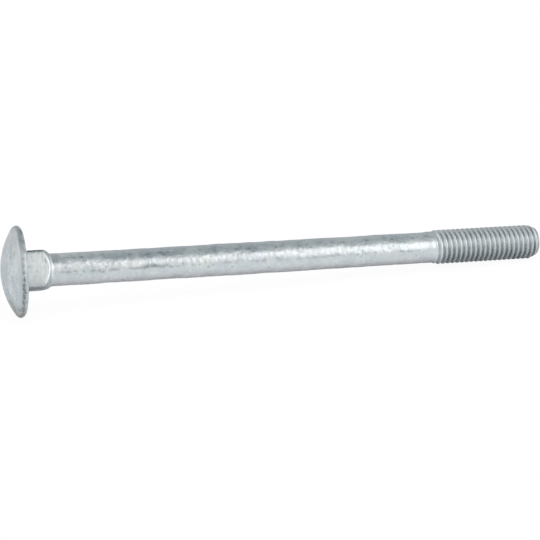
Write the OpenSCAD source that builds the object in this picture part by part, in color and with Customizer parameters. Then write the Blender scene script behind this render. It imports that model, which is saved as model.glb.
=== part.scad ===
// Carriage bolt with a mushroom head, a square neck and a rolled thread, lying at rest on a level surface
// Sizes are in millimetres. The bolt is drawn upright on its own axis, from the bearing face under the head
// at zero towards the tip, and lay_down() then puts it where it comes to rest: on the rim of its head and
// on the crests at the end of its thread. X runs along the bolt from head to tip, and Z is up.

// Which piece to show

/* [Overall] */
// From the bearing face under the head to the tip
length = 150; // [80:1:200]

/* [Head] */
// Across the round head
head_diameter = 24.6; // [22:0.1:27]
// From the bearing face to the top of the dome
head_height = 5.8; // [4.6:0.1:7]
// Roundness of the head's outer edge
rim_radius = 1.2; // [0.8:0.05:1.5]

/* [Square neck] */
// Across the flats
neck_width = 9.9; // [9.4:0.05:10.6]
// Radius of the four long edges
neck_edge_radius = 0.75; // [0.4:0.05:1.5]
// From the bearing face to where the taper meets the shank
neck_depth = 7.7; // [6:0.1:8.5]
// Slope of the taper at the neck's end, measured from the axis
neck_taper_angle = 48; // [35:1:60]
// Hollow radius between the taper and the shank
neck_fillet = 1.2; // [0.4:0.1:1.6]
// How far the square is turned about the axis
neck_turn = -29; // [-45:1:45]

/* [Shank] */
// Plain part: the rod that the thread is rolled from
shank_diameter = 8.85; // [8.7:0.05:9.2]

/* [Thread] */
// Across the crests
thread_diameter = 9.9; // [9.7:0.05:10]
// From one crest to the next
pitch = 1.5; // [1.25:0.05:1.75]
// Length of the threaded end
thread_length = 32; // [20:1:60]
// Length over which the thread fades into the shank
run_out = 1.6; // [1.5:0.1:4]
// How far the thread's skin begins inside the shank
skin_overlap = 0.95; // [0.5:0.05:1.2]
// Length of the tapered point at the tip
point_length = 2.2; // [1:0.1:3]
// Across the flat end of the tip
point_diameter = 8.0; // [7:0.1:8.1]
// Straight steps in one turn of the thread
steps = 36; // [24:4:40]

/* [Hidden] */
$fn = 96;
head_r = head_diameter / 2;
shank_r = shank_diameter / 2;
crest_r = thread_diameter / 2;
// A rolled thread is 0.613 of its pitch deep
root_r = crest_r - 0.613 * pitch;
thread_start = length - thread_length;

// The dome is part of a sphere that runs smoothly into the rounded edge of the head
edge_x = head_r - rim_radius;
dome_r = (pow(edge_x, 2) + pow(head_height, 2) - 2 * head_height * rim_radius)
       / (2 * (head_height - 2 * rim_radius));
dome_centre = dome_r - head_height;
dome_angle = atan2(edge_x, dome_centre + rim_radius);

// At rest the rim and the last full crests touch the ground, which tips the tip down
reach = length - point_length + rim_radius;
drop = edge_x - crest_r;
tilt = atan2(drop, reach) + asin(rim_radius / norm([drop, reach]));
// Height of the axis above the ground at the bearing face
seat_height = edge_x * cos(tilt) + rim_radius - rim_radius * sin(tilt);
// The bolt is centred along X: its ends are the dome and the top of the flat tip
head_end = dome_centre * cos(tilt) - dome_r;
tip_end = length * cos(tilt) + point_diameter / 2 * sin(tilt);
seat_x = -(head_end + tip_end) / 2;

color([0.72, 0.75, 0.78]) bolt();

// The whole bolt is forged and rolled from one rod, so it is one solid
module bolt() {
    lay_down() union() {
        head();
        neck();
        shank();
        thread();
    }
}

// From upright on its own axis to lying at rest
module lay_down() {
    translate([seat_x, 0, seat_height]) rotate([0, 90 + tilt, 0]) children();
}

// Mushroom head: half of its section turned about the axis, from the bearing face up over its rounded edge
// and along the dome to the top
module head() {
    edge = arc([edge_x, -rim_radius], rim_radius, 90, dome_angle - 90, 10);
    dome = arc([0, dome_centre], dome_r, dome_angle - 90, -90, 12);
    rotate_extrude() polygon(concat([[0, 0]], edge, [for (i = [1:12]) dome[i]]));
}

// Square neck that stops the bolt turning in wood: a square bar with its end turned to a taper
module neck() {
    intersection() {
        rotate([0, 0, neck_turn]) translate([0, 0, -1]) linear_extrude(height = neck_depth + 1) square_section();
        taper();
    }
}

module square_section() {
    flat = neck_width - 2 * neck_edge_radius;
    union() {
        square([neck_width, flat], center = true);
        square([flat, neck_width], center = true);
        for (x = [-1, 1], y = [-1, 1]) translate([x, y] * flat / 2) circle(r = neck_edge_radius);
    }
}

// Round body that trims the square's corners and runs down to the shank through a hollow fillet
module taper() {
    slope = tan(neck_taper_angle);
    wide = neck_width;
    bend = neck_fillet * tan(neck_taper_angle / 2);
    corner = neck_depth - bend;
    rotate_extrude() polygon(concat(
        [[0, -1], [wide, -1], [wide, corner - (wide - shank_r) / slope]],
        arc([shank_r + neck_fillet, neck_depth], neck_fillet, 180 + neck_taper_angle, 180, 8),
        [[0, neck_depth]]
    ));
}

// Plain shank, with a short taper at its end that the thread grows out of
module shank() {
    cylinder(r = shank_r, h = thread_start);
    translate([0, 0, thread_start]) cylinder(r1 = shank_r, r2 = root_r - 0.1, h = run_out / 2);
}

// Right-hand thread and its core, as one closed skin wound along the helix.
// Each turn has four lines that run round it: two at the root and two at the crest.
// Every line starts and ends on a flat ring, where the helix passes out of the thread's length.
module thread() {
    points = [for (m = [0:last_step + steps], k = [0:3]) thread_point(m, k)];
    skin = [for (m = [0:last_step - 1], k = [0:3])
        let (a = 4 * m + k, b = a + 4, c = line_above(b, k), d = line_above(a, k))
        each [[a, d, c], [a, c, b]]];
    kept = [for (t = skin) if (apart(points[t[0]], points[t[1]], points[t[2]])) t];
    start_ring = [for (m = [0:steps - 1]) 4 * m];
    end_ring = [for (m = [steps - 1:-1:0]) 4 * (last_step + m)];
    polyhedron(points = points, faces = concat(kept, [start_ring, end_ring]), convexity = 12);
}

skin_start = thread_start - skin_overlap;
last_step = ceil(steps * ((length - skin_start) / pitch + 1));

// Where each line lies in one pitch, and how high it stands between root (0) and crest (1)
line_place = [0, 0.166, 0.52, 0.646];
line_level = [0, 0, 1, 1];

function thread_point(m, k) =
    let (a = 360 * (m % steps) / steps,
         along = skin_start + pitch * (m / steps - 1 + line_place[k]),
         z = max(skin_start, min(length, along)),
         r = thread_radius(z, line_level[k]))
    [r * cos(a), r * sin(a), z];

// Root and crest part from each other along the run-out, and the point trims the crests
function thread_radius(z, level) =
    let (grown = min(1, (z - skin_start) / run_out),
         start = root_r - 0.05,
         full = level == 1 ? crest_r : root_r,
         point = point_diameter / 2 + (length - z) * (crest_r - point_diameter / 2) / point_length)
    min(start + grown * (full - start), point);

// The next line up: the last line of a turn meets the first line of the turn after it
function line_above(i, k) = k < 3 ? i + 1 : i + 1 + 4 * (steps - 1);

function apart(a, b, c) = a != b && b != c && c != a;

// Points along an arc, from one angle to another
function arc(centre, r, from, to, n) =
    [for (i = [0:n]) let (a = from + (to - from) * i / n) centre + r * [cos(a), sin(a)]];
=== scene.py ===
# Hot-dip galvanised carriage bolt lying at rest on a pale floor.
# Lengths are in millimetres in the bolt's own frame: x and y across it, z along its axis from the bearing
# face under the head to the tip. place() turns them into metres in the shared frame.
# Angles round the bolt start at its lowest line: 180 degrees is the top, and 270 the side in front.
import math
import bpy
import numpy as np
from mathutils import Matrix, Vector, noise


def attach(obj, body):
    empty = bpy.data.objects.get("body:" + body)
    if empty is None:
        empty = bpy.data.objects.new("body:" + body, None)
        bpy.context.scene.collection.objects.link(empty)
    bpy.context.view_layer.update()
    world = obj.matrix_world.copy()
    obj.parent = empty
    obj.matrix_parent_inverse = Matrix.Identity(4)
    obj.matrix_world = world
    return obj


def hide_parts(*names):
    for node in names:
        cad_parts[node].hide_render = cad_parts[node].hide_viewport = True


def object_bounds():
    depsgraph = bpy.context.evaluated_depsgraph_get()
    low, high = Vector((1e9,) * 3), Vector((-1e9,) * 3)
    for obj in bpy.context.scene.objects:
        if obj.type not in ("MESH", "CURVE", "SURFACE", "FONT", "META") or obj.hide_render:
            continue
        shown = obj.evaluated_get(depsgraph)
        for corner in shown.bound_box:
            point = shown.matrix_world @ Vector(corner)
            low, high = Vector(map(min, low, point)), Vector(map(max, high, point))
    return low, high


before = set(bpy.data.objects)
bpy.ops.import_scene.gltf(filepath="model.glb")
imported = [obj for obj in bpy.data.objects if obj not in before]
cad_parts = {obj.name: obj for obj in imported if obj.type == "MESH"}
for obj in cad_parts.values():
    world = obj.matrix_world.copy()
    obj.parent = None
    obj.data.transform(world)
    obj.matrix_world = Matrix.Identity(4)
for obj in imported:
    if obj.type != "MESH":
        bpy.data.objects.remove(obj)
cad_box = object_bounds()
scene = bpy.context.scene

# Sizes, as in the part's source
LENGTH = 150.0
HEAD_R = 12.3
HEAD_HEIGHT = 5.8
RIM_R = 1.2
NECK_WIDTH = 9.9
NECK_EDGE = 0.75
NECK_DEPTH = 7.7
NECK_ANGLE = math.radians(48)
NECK_FILLET = 1.2
NECK_TURN = math.radians(-29)
SHANK_R = 4.425
CREST_R = 4.95
PITCH = 1.5
ROOT_R = CREST_R - 0.613 * PITCH
THREAD_LENGTH = 32.0
THREAD_START = LENGTH - THREAD_LENGTH
RUN_OUT = 1.6
SKIN_OVERLAP = 0.95
SKIN_START = THREAD_START - SKIN_OVERLAP
POINT_LENGTH = 2.2
POINT_R = 4.0

# The dome is part of a sphere that runs smoothly into the rounded edge of the head
EDGE_X = HEAD_R - RIM_R
DOME_R = (EDGE_X**2 + HEAD_HEIGHT**2 - 2 * HEAD_HEIGHT * RIM_R) / (2 * (HEAD_HEIGHT - 2 * RIM_R))
DOME_CENTRE = DOME_R - HEAD_HEIGHT
DOME_ANGLE = math.atan2(EDGE_X, DOME_CENTRE + RIM_R)

# At rest the rim and the last full crests touch the floor, which tips the tip down
REACH = LENGTH - POINT_LENGTH + RIM_R
DROP = EDGE_X - CREST_R
TILT = math.atan2(DROP, REACH) + math.asin(RIM_R / math.hypot(DROP, REACH))
SEAT_Z = EDGE_X * math.cos(TILT) + RIM_R - RIM_R * math.sin(TILT)
SEAT_X = -(DOME_CENTRE * math.cos(TILT) - DOME_R + LENGTH * math.cos(TILT) + POINT_R * math.sin(TILT)) / 2

# How fine the skin is: vertices in a row, rows of each part, and the distance between the shank's rows
AROUND = 128
TURN = np.arange(AROUND) * 2 * math.pi / AROUND
DOME_ROWS = 33
RIM_ROWS = 18
FACE_ROWS = 7
SHANK_STEP = 0.33
NECK_ROWS = [0.8 + 0.3 * i for i in range(11)] + [3.8 + 0.14 * i for i in range(1, 29)]
# The small fillet at the neck's foot: height above the bearing face, and how far it stands out
FOOT_ROWS = ((0.0, 0.35), (0.05, 0.18), (0.16, 0.06), (0.35, 0.0))
# Where the bearing face's rows, which turn from round to square, meet that fillet
FOOT_R = 7.6
# The lines that run round the helix, as parts of one pitch
THREAD_LINES = (0.0, 0.045, 0.10, 0.17, 0.25, 0.33, 0.42, 0.50, 0.58, 0.67, 0.75, 0.83, 0.90, 0.955)
# How soft the corners are: between the neck and its cone, between the crests and the point, and at the tip
NECK_BLEND = 0.22
POINT_BLEND = 0.12
TIP_EDGE = 0.25
TIP_RINGS = (3.2, 2.4, 1.6, 0.8)
# How far the vertices of a row move towards the neck's corners, in radians
GATHER = 0.14


def place(p):
    """From the bolt's own frame in millimetres to the shared frame in metres."""
    c, s = math.cos(TILT), math.sin(TILT)
    x, y, z = p[:, 0], p[:, 1], p[:, 2]
    return np.stack([SEAT_X + z * c - x * s, y, SEAT_Z - z * s - x * c], axis=1) / 1000


def ease(t):
    """From 0 to 1 with a soft start and end."""
    t = min(1, max(0, t))
    return t * t * (3 - 2 * t)


def soft_min(a, b, blend):
    """The lower of two radii, with the corner between them rounded over."""
    h = np.clip(0.5 + 0.5 * (b - a) / blend, 0, 1)
    return b + (a - b) * h - blend * h * (1 - h)


# The bolt's skin, row by row
verts = []
faces = []
# The zinc coat, by layer and vertex. The skin gives three layers: painted shade on the thread, edges, and
# pale zinc with painted highlights
coat = {"hollow": [], "edge": [], "pale_and_highlight": []}


def add_vertex(radius, angle, z, hollow=0.0, edge=0.0, pale_and_highlight=0.0):
    """One vertex with its share of each layer; returns its number."""
    verts.append((radius * math.cos(angle), radius * math.sin(angle), z))
    coat["hollow"].append(hollow)
    coat["edge"].append(edge)
    coat["pale_and_highlight"].append(pale_and_highlight)
    return len(verts) - 1


def crowded(weight):
    """Angles round the bolt, drawn together at the neck's four corners by weight."""
    return TURN - weight * GATHER * np.sin(4 * (TURN - NECK_TURN - math.pi / 4))


def ring(z, radius, weight=0.0, edge=0.0):
    """One closed row of vertices; the radius is a number or a function of the angle."""
    angles = crowded(weight)
    radii = radius(angles) if callable(radius) else np.full(AROUND, float(radius))
    return [add_vertex(r, a, z, edge=edge) for a, r in zip(angles, radii)]


def square_radius(angle):
    """Distance from the axis to the square neck's side."""
    half = NECK_WIDTH / 2
    flat = half - NECK_EDGE
    t = np.abs((angle - NECK_TURN + math.pi / 4) % (math.pi / 2) - math.pi / 4)
    c, s = np.cos(t), np.sin(t)
    corner = flat * (c + s) + np.sqrt(np.maximum(NECK_EDGE**2 - (flat * (c - s)) ** 2, 0))
    return np.where(half * np.tan(t) <= flat, half / c, corner)


def taper_radius(z):
    """Radius of the cone and concave fillet that run from the neck down to the shank."""
    bend = NECK_DEPTH - NECK_FILLET * math.sin(NECK_ANGLE)
    if z >= NECK_DEPTH:
        return SHANK_R
    if z >= bend:
        return SHANK_R + NECK_FILLET - math.sqrt(NECK_FILLET**2 - (NECK_DEPTH - z) ** 2)
    return SHANK_R + NECK_FILLET * (1 - math.cos(NECK_ANGLE)) + (bend - z) * math.tan(NECK_ANGLE)


def head_rows():
    """Dome, rounded edge, and the bearing face in to the foot of the neck."""
    rows = []
    for i in range(1, DOME_ROWS + 1):
        a = DOME_ANGLE * i / DOME_ROWS
        edge = max(0, i - DOME_ROWS + 3) / 3
        rows.append(ring(DOME_CENTRE - DOME_R * math.cos(a), DOME_R * math.sin(a), edge=edge))
    for i in range(1, RIM_ROWS + 1):
        a = DOME_ANGLE + (math.pi - DOME_ANGLE) * i / RIM_ROWS
        rows.append(ring(-RIM_R - RIM_R * math.cos(a), EDGE_X + RIM_R * math.sin(a), edge=1.0))
    for i in range(1, FACE_ROWS + 1):
        t = i / FACE_ROWS
        rows.append(ring(0.0, EDGE_X + (FOOT_R - EDGE_X) * t, weight=t, edge=max(0, 1 - i / 3)))
    return rows


def neck_rows():
    """Square neck, whose corners the cone trims, from its foot to the shank."""
    rows = []
    for z, out in FOOT_ROWS:
        rows.append(ring(z, lambda a, out=out: square_radius(a) + out, weight=1.0))
    for z in NECK_ROWS:
        cone = np.full(AROUND, taper_radius(z))
        rows.append(ring(z, lambda a, cone=cone: soft_min(square_radius(a), cone, NECK_BLEND), weight=1.0))
    return rows


def shank_rows():
    """Plain shank, whose vertices spread out evenly again behind the neck."""
    rows = []
    z = NECK_DEPTH + 0.02
    while z < SKIN_START - 0.3:
        z = min(z + SHANK_STEP, SKIN_START - 0.2)
        rows.append(ring(z, SHANK_R, weight=max(0, 1 - (z - 7.5) / 6)))
    return rows


def thread_height(u):
    """Height between root (0) and crest (1) across one pitch: zinc leaves fat crests and narrow roots."""
    return min(1.0, max(0.0, abs(math.sin(math.pi * (u % 1))) - 0.10) / 0.88)


def thread_radius(z, height):
    """The thread grows out of the shank along its run-out, and the point trims its crests."""
    grown = ease((z - SKIN_START) / RUN_OUT)
    full = ROOT_R + (CREST_R - ROOT_R) * height
    r = SHANK_R + grown * (full - SHANK_R)
    left = LENGTH - z
    point = POINT_R + left * (CREST_R - POINT_R) / POINT_LENGTH
    if left < TIP_EDGE:
        point -= TIP_EDGE - math.sqrt(TIP_EDGE**2 - (TIP_EDGE - left) ** 2)
    return float(soft_min(np.array(r), np.array(point), POINT_BLEND))


def thread_wear(z, angle, height):
    """Painted shade on the thread, in its roots, on top and most of all underneath, and painted highlights
    on its crests.
    """
    # Each is 1 where it is strongest: underneath, on top, and on the side in front
    under = 0.5 + 0.5 * math.cos(angle + 0.4)
    over = max(0.0, -math.cos(angle)) ** 8
    front = min(1.0, max(0.0, 0.40 - 1.1 * math.sin(angle)))
    # Painted shade: darker in the roots, on top and most of all underneath
    dark = (1 - height) * (0.12 - 0.12 * under + 0.14 * over) + 0.16 * over + min(0.73, 1.30 * under**3)
    # Deeper painted shade in the last roots before the tip
    if z > LENGTH - 2.6 and height < 0.6:
        dark *= 1.9
    # Painted highlights on the side in front: on the crests and on the first turns
    first_turns = 0.9 * max(0.0, 1 - (z - THREAD_START) / 16) * height * (1 - under)
    crests = 1.6 * height**2 * (1 - under) ** 2.2
    hollow = min(1.0, dark) * ease((z - SKIN_START) / 4.5)
    pale_and_highlight = min(1.0, crests + first_turns) * front * ease((z - SKIN_START) / RUN_OUT)
    return hollow, pale_and_highlight


def thread_skin(steps, start_ring, end_ring):
    """Vertices of the helix by step and line; they close on a flat ring at each end."""
    skin = {}
    for m in range(steps + AROUND + 1):
        j = m % AROUND
        for k, line in enumerate(THREAD_LINES):
            z = SKIN_START + PITCH * (m / AROUND - 1 + line)
            if z <= SKIN_START + 1e-6:
                skin[m, k] = start_ring[j]
            elif z >= LENGTH - 1e-6:
                skin[m, k] = end_ring[j]
            else:
                height = thread_height(line)
                hollow, pale_and_highlight = thread_wear(z, TURN[j], height)
                skin[m, k] = add_vertex(thread_radius(z, height), TURN[j], z, hollow=hollow, pale_and_highlight=pale_and_highlight)
    return skin


def quad(*corners):
    """A face; corners that fall together are left out."""
    kept = [c for i, c in enumerate(corners) if c != corners[i - 1]]
    if len(set(kept)) >= 3:
        faces.append(kept)


def join_rings(first, second):
    """Faces between two closed rows."""
    for j in range(AROUND):
        quad(first[j], first[(j + 1) % AROUND], second[(j + 1) % AROUND], second[j])


def join_thread(skin, steps):
    """Faces between the helix's lines; the last line of a turn meets the first line of the next."""
    lines = len(THREAD_LINES)
    for m in range(steps):
        for k in range(lines):
            up = (m, k + 1) if k < lines - 1 else (m + AROUND, 0)
            up_next = (up[0] + 1, up[1])
            quad(skin[m, k], skin[m + 1, k], skin[up_next], skin[up])


def close_ring(loop, z):
    """A fan of faces from a ring to one vertex on the axis."""
    middle = add_vertex(0, 0, z)
    for j in range(AROUND):
        quad(loop[j], loop[(j + 1) % AROUND], middle)


rows = head_rows() + neck_rows() + shank_rows()
start_ring = ring(SKIN_START, SHANK_R)
end_ring = ring(LENGTH, POINT_R - TIP_EDGE, edge=1.0)
rows.append(start_ring)
thread_steps = math.ceil(AROUND * ((LENGTH - SKIN_START) / PITCH + 1))
thread = thread_skin(thread_steps, start_ring, end_ring)
for low_row, high_row in zip(rows, rows[1:]):
    join_rings(low_row, high_row)
join_thread(thread, thread_steps)
# Flat end of the tip, and the middles of the tip and of the dome
inner = end_ring
for r in TIP_RINGS:
    outer, inner = inner, ring(LENGTH, r)
    join_rings(outer, inner)
close_ring(inner, LENGTH)
close_ring(rows[0][::-1], -HEAD_HEIGHT)

mesh = bpy.data.meshes.new("bolt_skin")
mesh.from_pydata(verts, [], faces)
mesh.update()
base = np.array(verts)
normals = np.array([v.vector for v in mesh.vertex_normals])

# Pits, drips and stains in the zinc, and painted highlights, each with its place along the axis (mm) and
# round it (degrees), half length and half width (mm), slant (degrees), height (mm), and darkness (a painted
# highlight below zero)
HEAD_MARKS = [
    (-2.2, -52, 0.25, 0.55, 0, -0.03, 0.75), (-1.85, -134, 0.16, 1.20, 0, 0.04, -1.00),
    (-1.6, -36, 0.40, 0.90, 0, -0.04, 0.80), (-1.25, -57, 0.30, 0.45, 0, -0.03, 0.75),
    (-1.15, -126, 0.35, 0.28, 0, -0.04, 0.60), (-1.05, -118, 0.30, 0.25, 0, -0.03, 0.35),
    (-1.0, -140, 0.30, 0.35, 0, -0.03, 0.45), (-0.9, -84, 0.35, 0.45, 0, -0.04, 0.60),
    (-0.9, -44, 0.30, 0.55, 0, -0.03, 0.75), (-0.6, -69, 0.25, 0.45, 0, -0.03, 0.60),
    (-0.5, -131, 0.26, 0.70, 0, 0.03, -1.00), (-0.45, -121, 0.20, 0.80, 0, 0.02, -0.60),
]
NECK_MARKS = [
    (1.3, -96, 0.30, 0.40, 0, 0.02, -0.30), (1.8, -138, 0.25, 0.30, 0, -0.02, 0.25),
    (2.0, -81, 0.40, 0.30, 0, -0.02, 0.30), (2.1, -122, 0.30, 0.45, 0, 0.03, -0.30),
    (2.7, -99, 0.13, 0.40, 15, -0.02, 0.45), (3.0, -107, 0.20, 0.30, 0, -0.03, 0.40),
    (3.1, -110, 0.13, 0.42, 0, -0.03, 0.50), (3.6, -90, 0.30, 0.30, 0, -0.02, 0.30),
    (3.9, -85, 1.00, 0.40, 0, 0, 0.25), (3.9, -158, 0.40, 0.25, 0, -0.02, 0.30),
    (4.3, -100, 0.30, 0.40, 0, 0.03, -0.25), (4.4, -124, 0.25, 0.35, 0, 0.03, -0.30),
    (4.6, -149, 0.18, 0.30, 0, -0.02, 0.35), (4.9, -87, 0.60, 0.55, 0, 0, -0.45),
    (5.4, -139, 0.16, 0.50, 0, -0.03, 0.55), (5.6, -147, 0.14, 0.35, 0, -0.02, 0.40),
    (6.2, -80, 0.60, 0.50, 0, 0, -0.50),
]
SHANK_MARKS = [
    (9.9, -101, 0.80, 0.32, 0, 0, 0.30), (10.8, -116, 0.20, 0.26, 0, -0.04, 0.70),
    (11.7, -155, 0.21, 0.80, 0, 0.05, 0), (11.9, -146, 0.16, 0.70, 0, 0.03, -0.50),
    (13.1, -101, 0.37, 0.20, 0, -0.03, 0.65), (13.5, -92, 0.59, 0.20, 0, 0, 0.25),
    (15.3, -151, 0.54, 0.27, -6, -0.02, 0.75), (18.3, -160, 4.60, 1.60, 0, 0.17, 0),
    (20.8, -93, 0.41, 0.23, 0, -0.03, 0.70), (20.9, -120, 0.22, 0.38, 0, -0.03, 0.40),
    (21.6, -110, 0.35, 0.27, 0, -0.04, 0.65), (22.7, -95, 0.41, 0.20, 0, -0.02, 0.40),
    (26.5, -47, 0.41, 0.40, 0, 0, 0.60), (27.4, -143, 0.30, 0.25, 0, 0.04, -0.50),
    (27.6, -141, 0.25, 0.34, 0, 0.05, 0), (28.4, -152, 0.55, 0.32, 0, 0, 0.60),
    (28.5, -137, 0.27, 0.21, 0, 0, 0.45), (29.0, -147, 0.22, 0.45, 0, 0.04, -0.55),
    (29.2, -151, 0.22, 0.45, 0, 0.04, 0), (30.8, -99, 1.60, 0.26, -5, -0.02, 0.50),
    (31.2, -117, 2.00, 0.34, -26, 0.05, -0.85), (32.6, -102, 1.20, 0.55, -12, 0, 0.70),
    (33.3, -148, 0.83, 0.34, -6, 0, 0.45), (34.8, -104, 1.40, 0.52, 6, 0, 0.70),
    (36.8, -101, 1.90, 0.34, 0, 0, 0.45), (37.6, -144, 0.44, 0.32, 0, -0.03, 0.65),
    (38.3, -103, 0.36, 0.25, 0, -0.04, 0.60), (39.3, -161, 0.55, 0.18, 20, 0.05, -0.70),
    (39.4, -98, 0.50, 0.25, 0, -0.02, 0.45), (39.5, -157, 0.68, 0.25, 39, 0.05, 0),
    (39.6, -117, 0.33, 0.33, 0, 0.05, 0), (40.5, -150, 0.51, 0.24, 12, -0.02, 0.60),
    (40.9, -128, 0.50, 0.22, 0, 0.03, -0.40), (41.0, -126, 0.39, 0.22, 10, -0.02, 0.50),
    (41.3, -98, 0.55, 0.22, 0, -0.02, 0.40), (42.6, -105, 0.25, 0.38, 0, -0.04, 0.50),
    (42.7, -143, 0.39, 0.25, 0, -0.02, 0.55), (43.4, -110, 0.20, 0.43, 0, 0.05, 0),
    (47.4, -99, 0.67, 0.20, -15, -0.02, 0.40), (47.8, -124, 0.90, 0.22, -35, 0.05, 0),
    (50.0, -89, 0.39, 0.33, 0, -0.03, 0.40), (50.6, -125, 0.25, 0.25, 0, -0.03, 0.55),
    (50.7, -146, 0.60, 0.20, 10, 0.03, -0.45), (51.2, -95, 0.45, 0.28, 0, -0.03, 0.40),
    (51.9, -148, 0.54, 0.60, 0, 0, 0.40), (54.8, -102, 0.26, 0.44, 0, -0.03, 0.45),
    (55.9, -100, 0.43, 0.25, 0, -0.03, 0.45), (56.7, -82, 0.34, 0.25, 0, -0.03, 0.50),
    (56.9, -147, 0.50, 0.18, 0, 0.03, -0.35), (58.0, -149, 0.58, 0.31, -18, -0.02, 0.60),
    (58.1, -105, 0.51, 0.20, -5, -0.02, 0.45), (61.7, -147, 0.69, 0.27, 0, -0.02, 0.50),
    (62.7, -139, 0.26, 0.25, 0, -0.03, 0.60), (63.7, -147, 0.52, 0.30, 0, -0.02, 0.50),
    (66.2, -141, 0.52, 0.20, 0, 0, 0.45), (67.2, -71, 0.35, 0.29, 0, -0.02, 0.40),
    (69.6, -105, 0.38, 0.22, 0, -0.04, 0.50), (69.6, -147, 0.52, 0.27, 0, -0.02, 0.60),
    (72.4, -98, 0.70, 0.22, 0, -0.02, 0.30), (75.9, -126, 0.55, 0.20, 10, -0.03, 0.50),
    (76.4, -122, 0.75, 0.24, -30, -0.03, 0.40), (77.0, -120, 0.47, 0.20, 10, -0.03, 0.45),
    (79.6, -139, 0.35, 0.20, 0, -0.02, 0.55), (80.8, -100, 0.75, 0.25, 0, -0.02, 0.35),
    (82.8, -98, 1.60, 0.42, 0, 0, 0.25), (85.0, -102, 1.04, 0.23, 0, -0.02, 0.35),
    (85.6, -100, 0.95, 0.22, 0, -0.03, 0.35), (86.3, -152, 0.53, 0.30, 0, 0, 0.40),
    (87.3, -103, 0.90, 0.20, 12, -0.03, 0.40), (91.2, -103, 0.45, 0.22, 0, -0.03, 0.45),
    (93.0, -100, 0.40, 0.22, 0, -0.03, 0.40), (95.7, -101, 0.48, 0.23, 0, -0.02, 0.40),
    (96.5, -155, 0.66, 0.35, 0, -0.02, 0.55), (98.7, -104, 0.60, 0.20, 0, -0.02, 0.35),
    (102.8, -116, 0.33, 0.23, 19, -0.02, 0.35), (104.0, -154, 0.55, 0.34, 0, -0.02, 0.50),
    (106.6, -102, 0.80, 0.24, 0, -0.03, 0.45), (108.9, -101, 0.70, 0.22, 8, -0.02, 0.40),
    (109.0, -99, 1.04, 0.23, 0, -0.02, 0.35), (110.4, -153, 0.50, 0.37, 24, -0.02, 0.50),
    (111.7, -102, 0.40, 0.20, 0, -0.03, 0.35),
]

# Places on the bolt: along its axis, from its axis, and round it
axial = base[:, 2]
radius = np.hypot(base[:, 0], base[:, 1])
angle = np.arctan2(base[:, 1], base[:, 0])
turned = np.degrees(angle) % 360
overhead = -np.cos(angle)
# The neck's upper and lower corners on the side that faces the camera
UPPER_CORNER = math.degrees(NECK_TURN) + 225
LOWER_CORNER = UPPER_CORNER + 90
# Place on the head's rounded edge: 0 on the dome's side, 90 outermost, 180 at the bearing face
section = np.degrees(np.arctan2(radius - EDGE_X, -RIM_R - axial))
on_rim = (axial < -0.05) & (radius > EDGE_X - 0.3)
on_dome = (section < 60) & (axial < -1) & ~on_rim
on_neck = (axial > 0.02) & (axial < 7)
on_shank = (axial > 8) & (axial < THREAD_START - 1)
on_thread = axial > THREAD_START + 0.5
on_tip = axial > LENGTH - 0.8


def cloud(p, size, seed, stretch=1.0):
    """Soft noise at a point, with lumps of about one size, longer along the axis by stretch."""
    return noise.noise(Vector((p[0] / size + seed, p[1] / size - seed, p[2] / (size * stretch) + 2 * seed)))


def bell(value, middle, width, power=2):
    """1 in the middle, falling away on both sides."""
    return np.exp(-((value - middle) / width) ** power)


def ramp(value, start, end):
    """0 up to start and 1 from end on; it falls where end is the lower number."""
    return np.clip((value - start) / (end - start), 0, 1)


uneven = np.array([cloud(p, 1.3, 2.9) for p in base])
mottle = np.array([cloud(p, 0.72, 6.6, 2.2) for p in base])
streak = np.array([noise.noise(Vector((p[0] / 2.4, p[1] / 0.8, p[2] / 0.8 + 9))) for p in base])
# Layers added here: dark stains and painted shade, patchy grime and painted shade, how strong the fine
# bumps are, a warm painted shade low on the shank, and brown patches
coat = {name: np.array(values) for name, values in coat.items()}
for name in ("stain_and_shade", "grime_and_shade", "crinkle", "underside_shade", "rust"):
    coat[name] = np.zeros(len(base))


def lay(layer, area, value):
    """Put a value on one area of a layer."""
    coat[layer] = np.where(area, value, coat[layer])


def lay_over(layer, area, value):
    """Put a value on one area of a layer wherever it is stronger than what is there."""
    lay(layer, area, np.maximum(coat[layer], value))


def lay_mottle(area, strength):
    """Fine dark and light spots."""
    lay_over("stain_and_shade", area, 0.80 * np.clip(mottle - 0.10, 0, 1) * strength)
    lay_over("pale_and_highlight", area, 0.95 * np.clip(-mottle - 0.08, 0, 1) * strength)


def marks_coat():
    """The single marks: pits, stains and painted highlights. Returns how far they stand out, and how bright
    the painted highlights are.
    """
    swell = np.zeros(len(base))
    bright = np.zeros(len(base))
    for z, a, long, wide, slant, height, dark in HEAD_MARKS + NECK_MARKS + SHANK_MARKS:
        along = axial - z
        across = ((angle - math.radians(a) + math.pi) % (2 * math.pi) - math.pi) * radius
        c, s = math.cos(math.radians(slant)), math.sin(math.radians(slant))
        spot = np.exp(-((along * c + across * s) / long) ** 2 - ((across * c - along * s) / wide) ** 2)
        swell += height * spot
        coat["stain_and_shade"] = np.maximum(coat["stain_and_shade"], dark * spot)
        bright = np.maximum(bright, -dark * spot)
    return swell, bright


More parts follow.
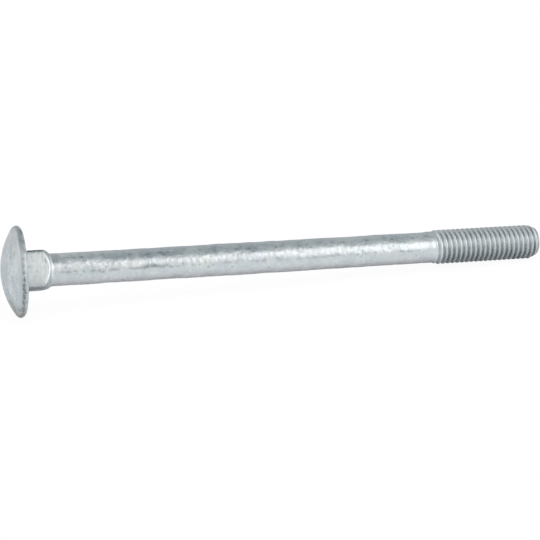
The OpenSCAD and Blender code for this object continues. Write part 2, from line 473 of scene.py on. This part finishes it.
def lumpy_coat():
    """Lumps of the coat, strongest on the shank. Returns how far they stand out."""
    swell = np.zeros(len(base))
    for i, p in enumerate(base):
        z = p[2]
        past_shank = ease((z - THREAD_START + 0.8) / 1.5)
        along_shank = ease((z - 7.0) / 1.5) * (1 - past_shank) * (1 - 0.75 * ease((z - 104) / 9))
        plain = 0.15 if z > THREAD_START + 0.5 else 0.36 if 0 < z < NECK_DEPTH else 0.30
        strength = plain + (1 - plain) * along_shank
        lumps = 0.11 * cloud(p, 6.5, 3.1, 1.6) + 0.08 * cloud(p, 2.6, 7.7, 1.2)
        lumps += 0.045 * cloud(p, 1.15, 9.1, 0.75) + 0.016 * cloud(p, 0.6, 4.4, 0.6)
        swell[i] = lumps * strength + 0.05 * coat["edge"][i] * cloud(p, 0.8, 5.2) - 0.02
        # Zinc gathered on top of the shank where the thread begins
        gathered = ease((z - THREAD_START + 3.4) / 1.4) * (1 - ease((z - THREAD_START + 0.8) / 1.2))
        swell[i] += 0.17 * gathered * max(0.0, overhead[i])
        coat["crinkle"][i] = strength
    return swell


def thread_coat():
    """Uneven painted shade in the roots and painted highlights on the crests, and brown on the tip's face.
    """
    coat["hollow"] *= np.where(on_thread, 1 + 0.25 * uneven, 1)
    coat["pale_and_highlight"] *= np.where(on_thread, 1 + 0.9 * uneven, 1)
    lay("rust", on_tip, 0.35 + 0.45 * bell(turned, 218, 24))


def rim_coat(bright):
    """The head's rounded edge: dirt, a band of painted shade, lines of painted highlight, and brown low
    down.
    """
    # Grime on the outermost line, most of it at the lower right, with one bare patch
    lower_right = ramp(turned, 240, 260) * ramp(turned, 335, 315)
    share = 0.35 - 0.25 * bell(turned, 230, 8) + 0.65 * lower_right
    lay("grime_and_shade", on_rim, bell(section, 84, 26) * share)
    # A band of painted shade on top, on the bearing face's side
    dull = ramp(section, 82, 112) * ramp(turned, 172, 186) * ramp(turned, 237, 225)
    lay_over("stain_and_shade", on_rim, 0.34 * dull * (1 + 1.5 * uneven))
    # No stain or painted shade under the painted highlights
    lay("stain_and_shade", on_rim, coat["stain_and_shade"] * (1 - bright))
    # Painted highlights: lines where the dome ends, at the top, and where the bearing face begins
    dome_side = bell(np.maximum(section, 38), 38, 17) * (1 - 0.65 * ramp(section, 40, 24))
    light = dome_side * bell(turned, 217, 22)
    light = np.maximum(light, 0.75 * bell(np.maximum(section, 48), 48, 24) * bell(turned, 191, 16))
    light = np.maximum(light, 0.8 * bell(section, 140, 16) * bell(turned, 236, 14))
    lay("pale_and_highlight", on_rim, np.maximum(light, bright))
    lay("rust", on_rim, 0.45 * ramp(turned, 298, 312) * ramp(turned, 350, 336))


def dome_coat():
    """Paler towards the top by painted light, with streaks and spots, and brown near its lower edge."""
    height = overhead * radius
    outward = ramp(radius, 2, 6)
    # Painted light: paler towards the top
    upper = 0.26 * ramp(height, 0.9, 9.9) + 0.60 * ramp(height, 7.5, 10.5)
    lay("pale_and_highlight", on_dome, upper + 1.2 * np.clip(streak - 0.08, 0, 1) * outward)
    lay("stain_and_shade", on_dome, 0.40 * np.clip(-streak - 0.12, 0, 1) * outward)
    lay("rust", on_dome, 0.9 * bell(radius, 9.6, 1.6) * bell(turned, 318, 13))
    lay_mottle(on_dome, 0.5)
    flecks = 1.5 * bell(turned, 248, 22) * bell(radius, 8.8, 2.0)
    lay("pale_and_highlight", on_dome, coat["pale_and_highlight"] + np.clip(-mottle - 0.02, 0, 1) * flecks)


def neck_coat():
    """The square neck and the cone behind it."""
    # Painted shade: patchy along the upper and lower corners, on the top face, and on the side in front,
    # deepest underneath
    square_part = ramp(axial, 6.0, 5.2)
    upper_edge = bell(turned, UPPER_CORNER + 0.5, 6)
    lower_edge = bell(turned, LOWER_CORNER + 5, 9)
    lay("grime_and_shade", on_neck, np.maximum(0.34 * lower_edge, 0.9 * upper_edge) * square_part)
    lay_over("stain_and_shade", on_neck, np.maximum(0.35 * bell(turned, 178, 22, 4), 0.30 * upper_edge))
    # Painted shade on the side in front, deepest underneath
    shade = 0.13 * ramp(turned, 248, 266) + 0.34 * ramp(turned, 288, 300) + 0.20 * ramp(turned, 296, 310)
    lay_over("stain_and_shade", on_neck & (turned > 200), 0.05 + shade * square_part)
    # Painted highlights on the side in front: a line where the cone cuts the flats and a line on the fillet
    # at the shank, with a line of painted shade between
    cone = np.array([taper_radius(z) for z in axial])
    facing = ramp(turned, 205, 217) * ramp(turned, LOWER_CORNER, LOWER_CORNER - 12)
    cut_edge_highlight = bell(square_radius(angle) - cone, 0.05, 0.42) * (axial < NECK_DEPTH - 0.9)
    fillet_highlight = bell(axial, NECK_DEPTH - 0.48, 0.30)
    fillet_shade_line = bell(axial, NECK_DEPTH - 0.95, 0.20)
    lay_over("pale_and_highlight", axial > 0.5, np.maximum(0.62 * cut_edge_highlight, 0.6 * fillet_highlight) * facing)
    lay_over("stain_and_shade", cut_edge_highlight < 0.3, 0.22 * fillet_shade_line * facing)
    # No stain or painted shade under the painted highlight on the cone's cut edge
    lay("stain_and_shade", cut_edge_highlight * facing > 0.3, coat["stain_and_shade"] * (1 - cut_edge_highlight))
    lay_mottle(on_neck & (turned > 204), 0.38)


def shank_coat():
    """The plain shank."""
    # A broken line of painted dark reflection along the lower side of the bright band
    broken = np.clip(0.15 + 2.2 * uneven, 0, 1) * ramp(axial, 115, 55)
    lay_over("stain_and_shade", (axial > 9) & (axial < 114), 0.42 * bell(turned, 261, 5) * broken)
    # A warm painted shade on the underside
    lay("underside_shade", (axial > 7.0) & (axial < 117.5), ramp(turned, 280, 308))
    # Painted light: a paler upper side near the neck, and a painted highlight line above the bright band
    # farther along
    paler = 0.55 * ramp(axial, 26, 14) * ramp(overhead, 0.45, 0.75)
    paler = np.maximum(paler, 0.50 * ramp(axial, 56, 66) * bell(turned, 216, 6))
    lay_over("pale_and_highlight", on_shank, paler * (1 - coat["stain_and_shade"]) * (1 + 1.2 * uneven))
    lay_mottle(on_shank, ramp(overhead, 0.72, 0.86) * np.maximum(0.25, ramp(overhead, 1.0, 0.93)))


mark_swell, bright_marks = marks_coat()
swell = mark_swell + lumpy_coat()
thread_coat()
# Painted highlights from the marks
coat["pale_and_highlight"] = np.maximum(coat["pale_and_highlight"], bright_marks)
rim_coat(bright_marks)
dome_coat()
neck_coat()
shank_coat()

# The coat never grows past the part's own box
world = np.clip(place(base + normals * swell[:, None]), np.array(cad_box[0]), np.array(cad_box[1]))
mesh.vertices.foreach_set("co", world.astype(np.float32).ravel())
mesh.update()
for name, values in coat.items():
    attribute = mesh.attributes.new(name, "FLOAT", "POINT")
    attribute.data.foreach_set("value", values.astype(np.float32))
mesh.polygons.foreach_set("use_smooth", np.ones(len(mesh.polygons), bool))

bolt = bpy.data.objects.new("carriage_bolt", mesh)
scene.collection.objects.link(bolt)
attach(bolt, "root")
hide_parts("bolt")


# Nodes of materials and of the world
def node(tree, kind, **settings):
    """A new node; each setting is the value of an input or an option of the node."""
    made = tree.nodes.new(kind)
    for name, value in settings.items():
        if name in made.inputs:
            made.inputs[name].default_value = value
        else:
            setattr(made, name, value)
    return made


def feed(tree, socket, value):
    """Link a socket to an output, or set it to a number or a colour."""
    if isinstance(value, bpy.types.NodeSocket):
        tree.links.new(value, socket)
    elif isinstance(value, tuple):
        socket.default_value = (*value, 1)
    else:
        socket.default_value = value


def mix(tree, amount, under, over):
    """One colour over another."""
    made = node(tree, "ShaderNodeMix", data_type="RGBA")
    feed(tree, made.inputs[0], amount)
    feed(tree, made.inputs[6], under)
    feed(tree, made.inputs[7], over)
    return made.outputs[2]


def maths(tree, kind, *values):
    """One step of arithmetic on sockets and numbers."""
    made = node(tree, "ShaderNodeMath", operation=kind)
    for socket, value in zip(made.inputs, values):
        feed(tree, socket, value)
    return made.outputs[0]


def fit_range(tree, value, start, end, to_start=0.0, to_end=1.0, kind="LINEAR"):
    """A value between start and end, moved to between to_start and to_end."""
    made = node(tree, "ShaderNodeMapRange", interpolation_type=kind)
    feed(tree, made.inputs["Value"], value)
    made.inputs["From Min"].default_value = start
    made.inputs["From Max"].default_value = end
    made.inputs["To Min"].default_value = to_start
    made.inputs["To Max"].default_value = to_end
    return made.outputs["Result"]


def zinc_material():
    """Dull galvanised zinc: grey with lilac, green and pale clouds, under what each layer adds."""
    material = bpy.data.materials.new("galvanised_zinc")
    material.use_nodes = True
    tree = material.node_tree
    shader = tree.nodes["Principled BSDF"]
    metres = node(tree, "ShaderNodeTexCoord").outputs["Object"]

    def clouds(scale, detail, rough, low, high, stretch=(1, 1, 1)):
        in_mm = node(tree, "ShaderNodeMapping", Scale=[1000 * s for s in stretch])
        tree.links.new(metres, in_mm.inputs["Vector"])
        made = node(tree, "ShaderNodeTexNoise", Scale=scale, Detail=detail, Roughness=rough)
        tree.links.new(in_mm.outputs["Vector"], made.inputs["Vector"])
        return fit_range(tree, made.outputs["Fac"], low, high)

    def layer(name):
        return node(tree, "ShaderNodeAttribute", attribute_name=name).outputs["Fac"]

    def share(a, b):
        return maths(tree, "MULTIPLY", a, b)

    soft = clouds(0.30, 4, 0.55, 0.35, 0.68)
    lilac = clouds(0.24, 2, 0.5, 0.48, 0.66)
    moss = clouds(0.31, 2, 0.5, 0.50, 0.68)
    fleck = clouds(0.9, 3, 0.6, 0.52, 0.70)
    dull = clouds(0.16, 3, 0.5, 0.50, 0.75, (0.35, 1, 1))
    specks = clouds(1.5, 2, 0.5, 0.66, 0.74)
    dirt = clouds(0.9, 4, 0.8, 0.38, 0.56)
    brown = clouds(0.7, 3, 0.6, 0.40, 0.60)
    colour = mix(tree, soft, (0.56, 0.62, 0.64), (0.69, 0.715, 0.72))
    for amount, over in (
        (share(lilac, 0.24), (0.60, 0.635, 0.72)),
        (share(moss, 0.30), (0.60, 0.69, 0.665)),
        (share(fleck, 0.45), (0.80, 0.825, 0.835)),
        (share(dull, 0.35), (0.42, 0.475, 0.50)),
        (share(specks, 0.5), (0.25, 0.28, 0.30)),
        # Patchy grime, and painted shade along the neck's corners
        (share(dirt, layer("grime_and_shade")), (0.14, 0.155, 0.17)),
        # Pale zinc, and painted highlights
        (layer("pale_and_highlight"), (0.82, 0.84, 0.845)),
        # Painted shade on the thread
        (share(layer("hollow"), 0.74), (0.20, 0.225, 0.24)),
        # Warm painted shade on the shank's underside
        (share(layer("underside_shade"), 0.25), (0.38, 0.28, 0.33)),
        # Dark stains, and painted shade
        (layer("stain_and_shade"), (0.10, 0.125, 0.135)),
        (share(brown, layer("rust")), (0.47, 0.40, 0.35)),
    ):
        colour = mix(tree, amount, colour, over)
    tree.links.new(colour, shader.inputs["Base Color"])
    shader.inputs["Metallic"].default_value = 0.92
    shader.inputs["Specular Tint"].default_value = (0.72, 0.74, 0.76, 1)
    rough = fit_range(tree, soft, 0.0, 1.0, 0.26, 0.40)
    rough = maths(tree, "ADD", rough, share(layer("edge"), 0.25))
    tree.links.new(rough, shader.inputs["Roughness"])

    lumps = share(clouds(0.75, 2, 0.5, 0.2, 0.8, (1.3, 0.85, 0.85)), 0.9)
    grain = share(clouds(1.7, 3, 0.6, 0.2, 0.8, (1.4, 0.8, 0.8)), 0.20)
    height = maths(tree, "SUBTRACT", maths(tree, "ADD", lumps, grain), share(specks, 0.3))
    bump = node(tree, "ShaderNodeBump", Strength=1.0, Distance=0.00008)
    tree.links.new(share(height, layer("crinkle")), bump.inputs["Height"])
    tree.links.new(bump.outputs["Normal"], shader.inputs["Normal"])
    return material


def white_paper():
    """Pale matt floor that the camera sees as white, and that keeps the bolt's shadow."""
    material = bpy.data.materials.new("white_paper")
    material.use_nodes = True
    tree = material.node_tree
    tree.nodes.remove(tree.nodes["Principled BSDF"])
    matt = node(tree, "ShaderNodeBsdfDiffuse", Color=(0.87, 0.87, 0.87, 1))
    glow = node(tree, "ShaderNodeEmission", Color=(1, 1, 1, 1), Strength=1.02)
    path = node(tree, "ShaderNodeLightPath")
    by_camera = maths(tree, "MULTIPLY", path.outputs["Is Camera Ray"], 0.92)
    by_metal = maths(tree, "MULTIPLY", path.outputs["Is Glossy Ray"], 0.10)
    blend = node(tree, "ShaderNodeMixShader")
    tree.links.new(maths(tree, "ADD", by_camera, by_metal), blend.inputs["Fac"])
    tree.links.new(matt.outputs[0], blend.inputs[1])
    tree.links.new(glow.outputs[0], blend.inputs[2])
    tree.links.new(blend.outputs[0], tree.nodes["Material Output"].inputs["Surface"])
    return material


def studio():
    """Pale walls, darker overhead, to both sides, in front and behind, with one soft light in front."""
    world = bpy.data.worlds.new("studio")
    world.use_nodes = True
    tree = world.node_tree
    direction = node(tree, "ShaderNodeTexCoord").outputs["Generated"]
    split = node(tree, "ShaderNodeSeparateXYZ")
    tree.links.new(direction, split.inputs[0])
    to_side = maths(tree, "ABSOLUTE", split.outputs["X"])
    sides = fit_range(tree, to_side, 0.50, 0.90, 1.0, 0.25, kind="SMOOTHSTEP")
    climb = node(tree, "ShaderNodeValToRGB")
    low, high = climb.color_ramp.elements
    low.position = 0.40
    low.color = (0.90, 0.91, 0.92, 1)
    high.position = 0.92
    high.color = (0.324, 0.370, 0.390, 1)
    tree.links.new(maths(tree, "MULTIPLY", split.outputs["Z"], sides), climb.inputs["Fac"])
    to_front = maths(tree, "ABSOLUTE", split.outputs["Y"])
    front = fit_range(tree, to_front, 0.35, 0.85, 0.0, 0.45, kind="SMOOTHSTEP")
    toward = node(tree, "ShaderNodeVectorMath", operation="DOT_PRODUCT")
    toward.inputs[1].default_value = (0.226, -0.847, 0.48)
    tree.links.new(direction, toward.inputs[0])
    lobe = fit_range(tree, toward.outputs["Value"], 0.68, 0.92, kind="SMOOTHSTEP")
    walls = mix(tree, front, climb.outputs["Color"], (0.30, 0.31, 0.33))
    lit = mix(tree, lobe, walls, (0.86, 0.845, 0.84))
    seen = mix(tree, node(tree, "ShaderNodeLightPath").outputs["Is Camera Ray"], lit, (1, 1, 1))
    tree.links.new(seen, tree.nodes["Background"].inputs["Color"])
    return world


def softbox(name, where, aim, size, power):
    """A rectangular lamp that points at aim; lengths are in metres."""
    data = bpy.data.lights.new(name, "AREA")
    data.shape = "RECTANGLE"
    data.size, data.size_y = size
    data.energy = power
    lamp = bpy.data.objects.new(name, data)
    lamp.location = where
    lamp.rotation_euler = (Vector(aim) - Vector(where)).to_track_quat("-Z", "Y").to_euler()
    scene.collection.objects.link(lamp)
    return lamp


# The camera looks down on the bolt past its head, level, through a lens of about 100 mm.
# The middle of the bearing face is seen at SEAT_PX, in pixels from the picture's left and top.
AZIMUTH = math.radians(-16.74)
ELEVATION = math.radians(21.43)
PICTURE_PX = 540
FOCAL_PX = 1500.9
SEAT_PX = (22.79, 271.50)
DISTANCE = 0.3994
SENSOR = 36


def photo_camera():
    """The camera, where the photo was taken from."""
    right = Vector((math.cos(AZIMUTH), math.sin(AZIMUTH), 0))
    level = Vector((-math.sin(AZIMUTH), math.cos(AZIMUTH), 0))
    ahead = level * math.cos(ELEVATION) - Vector((0, 0, math.sin(ELEVATION)))
    up = right.cross(ahead)
    across = (SEAT_PX[0] - PICTURE_PX / 2) / FOCAL_PX
    down = (SEAT_PX[1] - PICTURE_PX / 2) / FOCAL_PX
    seat = Vector((SEAT_X / 1000, 0, SEAT_Z / 1000))
    eye = seat - DISTANCE * (ahead + right * across - up * down)
    data = bpy.data.cameras.new("camera")
    data.sensor_width = SENSOR
    data.lens = FOCAL_PX / PICTURE_PX * SENSOR
    data.clip_start = 0.01
    camera = bpy.data.objects.new("camera", data)
    camera.matrix_world = Matrix((
        (right.x, up.x, -ahead.x, eye.x),
        (right.y, up.y, -ahead.y, eye.y),
        (right.z, up.z, -ahead.z, eye.z),
        (0, 0, 0, 1)))
    scene.collection.objects.link(camera)
    return camera


bolt.data.materials.append(zinc_material())

FLOOR_HALF = 3
floor_mesh = bpy.data.meshes.new("floor")
corners = [(x * FLOOR_HALF, y * FLOOR_HALF, 0) for x, y in ((-1, -1), (1, -1), (1, 1), (-1, 1))]
floor_mesh.from_pydata(corners, [], [(0, 1, 2, 3)])
floor = bpy.data.objects.new("floor", floor_mesh)
scene.collection.objects.link(floor)
floor.data.materials.append(white_paper())

scene.world = studio()
scene.view_settings.view_transform = "Standard"
key = softbox("key", (0.60, -0.66, 0.525), (0.02, 0, 0), (0.80, 0.86), 2.0)
key.data.color = (1.0, 0.968, 0.955)
table_light = softbox("table", (0.0, -0.2, 0.9), (0.0, 0, 0), (1.0, 1.0), 4.4)
table_light.visible_glossy = False
scene.camera = photo_camera()

bpy.context.view_layer.update()
